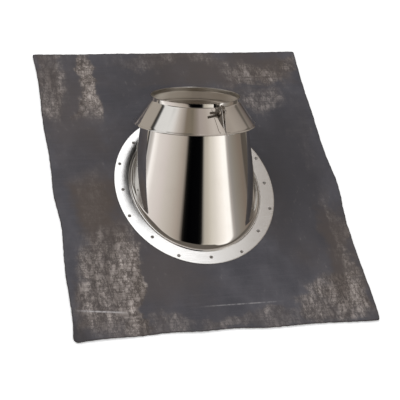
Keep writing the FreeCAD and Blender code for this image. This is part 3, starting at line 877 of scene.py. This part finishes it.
# In the slit's frame: flue's foot + axis * height + outward * out + sideways * tangent.
def atSlit(out, tangent, height):
    a = collar["slitAzimuth"]
    outward = flueSide * math.cos(a) + flueDown * math.sin(a)
    sideways = -flueSide * math.sin(a) + flueDown * math.cos(a)
    return flueFoot + flueAxis * np.asarray(height)[..., None] \
        + outward * np.asarray(out)[..., None] + sideways * np.asarray(tangent)[..., None]


# Rings round the screw's axis, out by radius * cos and up by radius * sin, closed at both
# ends by a ring of the inner radius.
def screwRings(radius, along, turn, inner):
    end = np.full((1, len(turn)), inner)
    radius = np.concatenate([end, radius, end])
    along = np.concatenate([along[:1], along, along[-1:]])[:, None] + turn * 0
    out = flue["radius"] + clamp["screwReach"] + radius * np.cos(turn)
    return atSlit(out, along, collar["top"] - clamp["screwDrop"] + radius * np.sin(turn))


# Hexagon: half the flats / cos of the angle to the nearest flat, and near both ends at most
# corner radius - (chamfer - distance from the end) * slope.
def hexRings(start, length, bore):
    turn = fullTurn(clamp["hexSteps"])
    apothem = clamp["acrossFlats"] / 2
    flat = apothem / np.cos((turn + math.pi / 6) % (math.pi / 3) - math.pi / 6)
    depths = np.array(clamp["hexDepths"] + (length / 2,))
    depths = np.concatenate([depths, length - depths[:-1][::-1]])
    fromEnd = np.minimum(depths, length - depths)[:, None]
    cutBack = np.maximum(0, clamp["chamfer"] - fromEnd) * clamp["chamferSlope"]
    radius = np.minimum(flat[None], apothem / math.cos(math.pi / 6) - cutBack)
    return screwRings(radius, depths + start, turn, bore)


# Thread: the radius falls by a triangle wave of (along / pitch - turn / full turn), and
# towards the tip.
def threadRings(start, end):
    turn = fullTurn(clamp["threadSteps"])
    along = np.arange(start, end, clamp["pitch"] / clamp["ringsPerPitch"])
    phase = (along[:, None] / clamp["pitch"] - turn[None] / (2 * math.pi)) % 1.0
    radius = clamp["screwRadius"] - clamp["threadDepth"] * (1 - np.abs(phase * 2 - 1))
    tip = np.clip((along - start) / clamp["tip"], 0, 1)[:, None]
    radius = np.minimum(radius, clamp["screwRadius"] - clamp["tip"] + clamp["tip"] * tip)
    return screwRings(radius, along, turn, 0.0)


# Seat = half the slit + the ear's sheet + gap + corner radius * the ear's lean.
def buildScrew():
    seat = slitHalfWidth(collar["top"] - clamp["screwDrop"]) + clamp["earSheet"]
    corner = clamp["acrossFlats"] / 2 / math.cos(math.pi / 6)
    seat = seat + clamp["gap"] + corner * collar["slitLean"]
    thread = threadRings(seat - clamp["screwLength"], seat + clamp["intoHead"])
    head = hexRings(seat, clamp["headHeight"], 0.0)
    quads = [gridFaces(*rings.shape[:2], False, True) for rings in (thread, head)]
    quads[1] = quads[1] + thread.size // 3
    points = np.concatenate([thread.reshape(-1, 3), head.reshape(-1, 3)])
    return meshFrom("hex_screw", points, np.concatenate(quads)), seat


# The nut lies on the other ear, from -seat - its height, with a bore = screw radius + gap.
def buildNut(seat):
    start, bore = -seat - clamp["nutHeight"], clamp["screwRadius"] + clamp["boreGap"]
    rings = hexRings(start, clamp["nutHeight"], bore)
    return meshFrom("hex_nut", rings.reshape(-1, 3), gridFaces(*rings.shape[:2], True, True))


fastener = brushedMaterial("plain_fastener", clamp)
screw, screwSeat = buildScrew()
finishPiece(screw, ["clamp_screw"], fastener, smoothAngle=30.0)
nut = buildNut(screwSeat)
finishPiece(nut, ["clamp_nut"], fastener, smoothAngle=30.0)


stage = {
    "floorHalf": 6.0, "floorDrop": 0.0003, "floorRough": 0.9, "floorGlow": 0.12,
    "worldLight": 0.95, "lampPower": 14.0, "lampSize": (1.6, 1.2), "lampPlace": (-1.4, 0.9, 2.2),
    "tentRadius": 5.5, "tentLight": 1.18, "compassStep": 0.5, "riseStep": 0.75,
    # the tent's inside near the horizon: compass angle from straight downslope, display colour
    "horizon": (
        (-180, 150, 147, 143), (-160, 170, 168, 164), (-150, 205, 203, 200),
        (-118, 214, 212, 208), (-109, 170, 165, 160), (-104, 196, 190, 184),
        (-100, 244, 239, 234), (-97, 240, 234, 228), (-90, 215, 208, 202), (-75, 203, 194, 188),
        (-65, 191, 183, 174), (-54, 178, 169, 159), (-43, 161, 150, 139), (-37.5, 146, 136, 126),
        (-34.5, 104, 96, 88), (-31.5, 30, 27, 24), (-28, 8, 8, 8), (-22, 2, 2, 3), (-4, 4, 4, 5),
        (1, 14, 14, 13), (3.5, 44, 42, 39), (6, 128, 123, 114), (9.5, 172, 165, 153),
        (15, 183, 175, 162), (23, 204, 197, 185), (30, 215, 208, 198), (42, 243, 236, 227),
        (49, 255, 250, 243), (56, 255, 251, 244), (59.5, 170, 163, 157), (64, 141, 136, 130),
        (72, 131, 124, 114), (85, 120, 108, 97), (96, 114, 104, 94), (104, 146, 137, 127),
        (110, 156, 147, 137), (117, 142, 133, 124), (128, 104, 96, 88), (145, 100, 93, 86),
        (180, 150, 147, 143)),
    # the table round the object: compass angle, display colour; then compass angle, degrees
    # above the horizon of its far edge
    "table": (
        (-180, 75, 70, 64), (-160, 120, 113, 104), (-150, 156, 148, 138), (-112, 154, 146, 136),
        (-104, 225, 220, 214), (-80, 205, 198, 190), (0, 150, 140, 130), (60, 132, 124, 114),
        (85, 126, 116, 106), (91, 112, 102, 93), (94, 82, 75, 68), (108, 84, 78, 71),
        (115, 122, 114, 106), (124, 118, 110, 102), (129, 104, 95, 90), (134, 70, 64, 58),
        (140, 58, 53, 48), (180, 75, 70, 64)),
    "tableEdge": (
        (-180, 24), (-150, 24), (-137, 21), (-129, 12), (-120, -11), (-114, -22), (-107, -33),
        (-80, -40), (80, -30), (88, -6), (105, -5), (130, -7), (160, 5), (180, 24)),
    "floorBelow": (104, 93, 81),
    # where the lit strip lies: lean to the right, and how far it stands towards the back
    "strip": (
        (-1.0, 0.72), (-0.76, 0.60), (-0.70, 0.44), (-0.61, 0.32), (-0.49, 0.24), (-0.35, 0.17),
        (-0.2, 0.116), (0.0, 0.10), (0.18, 0.075), (0.35, 0.087), (0.53, 0.12), (0.68, 0.195),
        (0.80, 0.276), (0.87, 0.406), (1.0, 0.55)),
    # the upper edge of the lit walls in front: compass angle, degrees up
    "wallTop": (
        (-180, 80), (-135, 80), (-118, 30), (-100, 8), (-90, 6), (-77, 15), (-66, 33), (-54, 46),
        (-43, 49), (-32, 44), (-17, 42), (0, 42), (15, 39), (30, 38), (41, 44), (52, 44),
        (63, 42), (75, 20), (88, 8), (105, 20), (125, 60), (180, 80)),
    "ceiling": (92, 86, 79),
    # overhead, from left to right: how far the direction leans to the right, display colour
    "overhead": (
        (-1.0, 214, 212, 208), (-0.61, 209, 203, 197), (-0.49, 173, 164, 155),
        (-0.42, 150, 141, 132), (-0.35, 118, 107, 94), (-0.2, 115, 106, 92),
        (-0.08, 135, 125, 116), (0.0, 155, 145, 138), (0.18, 165, 155, 146),
        (0.35, 184, 175, 166), (0.53, 184, 175, 166), (0.66, 150, 141, 132), (0.8, 148, 139, 130),
        (1.0, 132, 124, 115)),
    # behind the object, high: compass angle, display colour
    "behind": (
        (100, 150, 141, 132), (147, 162, 154, 147), (150.6, 170, 163, 157),
        (152.2, 207, 203, 198), (154, 226, 223, 219), (156.5, 254, 252, 250),
        (159, 276, 275, 274), (162, 296, 296, 296), (240, 300, 300, 300)),
    "behindDrift": (50, 0.8),  # from this height the stops behind turn by this share of it
    # where zones begin and over what width they rise, or fall if negative: in degrees up or
    # round, or in shares of the lean
    "overheadUp": (42, 10),
    "behindMiddle": 156, "behindRound": (24, -5), "behindUp": ((42, 3), (68, -5)),
    "frontMargin": -0.06, "frontFade": -0.04, "wallFade": 3,
    "hindMargin": 0.08, "hindFade": 0.05, "hindLean": (0.1, 0.1), "hindUp": (-4, 5),
    "leftRound": ((168, 6), (240, -10)), "leftUp": ((37, 5), (78, -5)),
    "edgeFade": 1.5,  # the table's far edge
    "lineWidth": 6.0, "lineDepth": 0.9, "lineRound": (-101, -4),  # the dark line along it
    "belowUp": (-40, -15),
}


# Straight interpolation between the linear colours of the two stops next to the value.
def alongStops(stops, value):
    stops = np.array(stops, float)
    colours = lightOf(stops[:, 1:])
    return np.stack([np.interp(value, stops[:, 0], colours[:, k]) for k in range(3)], -1)


# 0 up to the start, then in a straight line to 1 over the width; the other way for one < 0.
def ramp(value, start, width):
    return np.clip((value - start) / width, 0, 1)


# a * (1 - share) + b * share, the share once for all three colours.
def blended(a, b, share):
    return a * (1 - share[..., None]) + b * share[..., None]


# A globe seen from inside: the horizon's stops, blended into the overhead ones high up, the
# ceiling in the unlit zones and the stops behind the object; below a slanted line the table,
# with a dark line along its edge: 1 - depth * exp(-((up - line) / width) ^ 4).
def buildTent():
    t = stage
    compass = np.radians(np.arange(-180, 180, t["compassStep"]))
    rise = np.radians(np.arange(-90, 90.5, t["riseStep"]))
    rise, compass = np.meshgrid(rise, compass, indexing="ij")
    lean = np.cos(rise) * np.sin(compass)
    points = t["tentRadius"] * np.stack([lean, -np.cos(rise) * np.cos(compass), np.sin(rise)], -1)
    degrees, up = np.degrees(compass), np.degrees(rise)
    around = degrees % 360
    ahead = np.cos(rise) * -np.cos(compass)
    colour = blended(alongStops(t["horizon"], degrees), alongStops(t["overhead"], lean),
                     ramp(up, *t["overheadUp"]))
    # the lit strip overhead runs from left to right; in front of it, behind it on the right
    # and at the back left the ceiling is unlit
    strip = np.interp(lean, *np.array(t["strip"], float).T)
    lowEdge = np.interp(degrees, *np.array(t["wallTop"], float).T)
    front = ramp(ahead, strip + t["frontMargin"], t["frontFade"])
    front = front * ramp(up, lowEdge, t["wallFade"])
    hind = ramp(ahead, strip + t["hindMargin"], t["hindFade"])
    hind = hind * ramp(lean, *t["hindLean"]) * ramp(up, *t["hindUp"])
    left = ramp(around, *t["leftRound"][0]) * ramp(around, *t["leftRound"][1])
    left = left * ramp(up, *t["leftUp"][0]) * ramp(up, *t["leftUp"][1])
    unlit = np.maximum(np.maximum(front, hind), left)
    colour = blended(colour, lightOf(t["ceiling"]), unlit)
    driftFrom, drift = t["behindDrift"]
    rear = ramp(np.abs(around - t["behindMiddle"]), *t["behindRound"])
    rear = rear * ramp(up, *t["behindUp"][0]) * ramp(up, *t["behindUp"][1])
    back = alongStops(t["behind"], around + (up - driftFrom) * drift)
    colour = blended(colour, back, rear)
    line = np.interp(degrees, *np.array(t["tableEdge"], float).T)
    under = ramp(up, line + t["edgeFade"] / 2, -t["edgeFade"])
    colour = blended(colour, alongStops(t["table"], degrees), under)
    dark = np.exp(-((up - line) / t["lineWidth"]) ** 4) * ramp(degrees, *t["lineRound"])
    colour = colour * (1 - t["lineDepth"] * dark[..., None])
    colour = blended(colour, lightOf(t["floorBelow"]), ramp(up, *t["belowUp"]))
    tent = meshFrom("light_tent", points.reshape(-1, 3), gridFaces(*rise.shape, False, True))
    layer = tent.data.color_attributes.new("light", "FLOAT_COLOR", "POINT")
    rgba = np.concatenate([colour.reshape(-1, 3), np.ones((colour.size // 3, 1))], 1)
    layer.data.foreach_set("color", rgba.astype(np.float32).ravel())
    material = bpy.data.materials.new("tent light")
    material.use_nodes = True
    tree = material.node_tree
    tree.nodes.clear()
    painted = addNode(tree, "ShaderNodeAttribute")
    painted.attribute_name = "light"
    glow = addNode(tree, "ShaderNodeEmission", {
        "Color": painted.outputs["Color"], "Strength": t["tentLight"]})
    addNode(tree, "ShaderNodeOutputMaterial", {"Surface": glow.outputs[0]})
    tent.data.materials.append(material)
    for way in ("camera", "diffuse", "transmission", "volume_scatter", "shadow"):
        setattr(tent, "visible_" + way, False)


# A white square under the sheet, as far below zero as the drop; mirrors don't show it.
def buildFloor():
    half, low = stage["floorHalf"], -stage["floorDrop"]
    corners = [[-half, -half, low], [half, -half, low], [half, half, low], [-half, half, low]]
    floor = meshFrom("floor", np.array(corners), np.array([[0, 1, 2, 3]]))
    material, _, shader = newMaterial("white paper")
    white = (1.0, 1.0, 1.0, 1.0)
    fill(material.node_tree, shader.inputs, {
        "Base Color": white, "Roughness": stage["floorRough"], "Specular IOR Level": 0.0,
        "Emission Color": white, "Emission Strength": stage["floorGlow"]})
    floor.data.materials.append(material)
    floor.visible_glossy = False


# An even white world and one soft lamp that points at the origin.
def buildLight():
    world = bpy.data.worlds.new("soft studio")
    bpy.context.scene.world = world
    world.use_nodes = True
    background = world.node_tree.nodes["Background"]
    background.inputs["Color"].default_value = (1.0, 1.0, 1.0, 1.0)
    background.inputs["Strength"].default_value = stage["worldLight"]
    lamp = bpy.data.lights.new("soft box", "AREA")
    lamp.shape = "RECTANGLE"
    lamp.size, lamp.size_y = stage["lampSize"]
    lamp.energy = stage["lampPower"]
    box = newObject("soft box", lamp)
    box.location = stage["lampPlace"]
    box.rotation_euler = (Vector((0, 0, 0)) - box.location).to_track_quat("-Z", "Y").to_euler()
    box.visible_glossy = False
    box.visible_camera = False


view = {
    "place": (-0.65575, -1.45005, 2.01159), "turn": (36.475, -10.622, -11.084),
    "lens": 100.06, "sensor": 36.0}  # turn in degrees, lens and sensor in millimetres


# The camera stands at the place and is turned by the three angles about X, Y and Z.
def buildCamera():
    data = bpy.data.cameras.new("camera")
    data.lens, data.sensor_width = view["lens"], view["sensor"]
    camera = newObject("camera", data)
    camera.location = view["place"]
    camera.rotation_euler = [math.radians(v) for v in view["turn"]]
    bpy.context.scene.camera = camera


buildTent()
buildFloor()
buildLight()
buildCamera()
bpy.context.scene.view_settings.view_transform = "Standard"
print("stage ready")
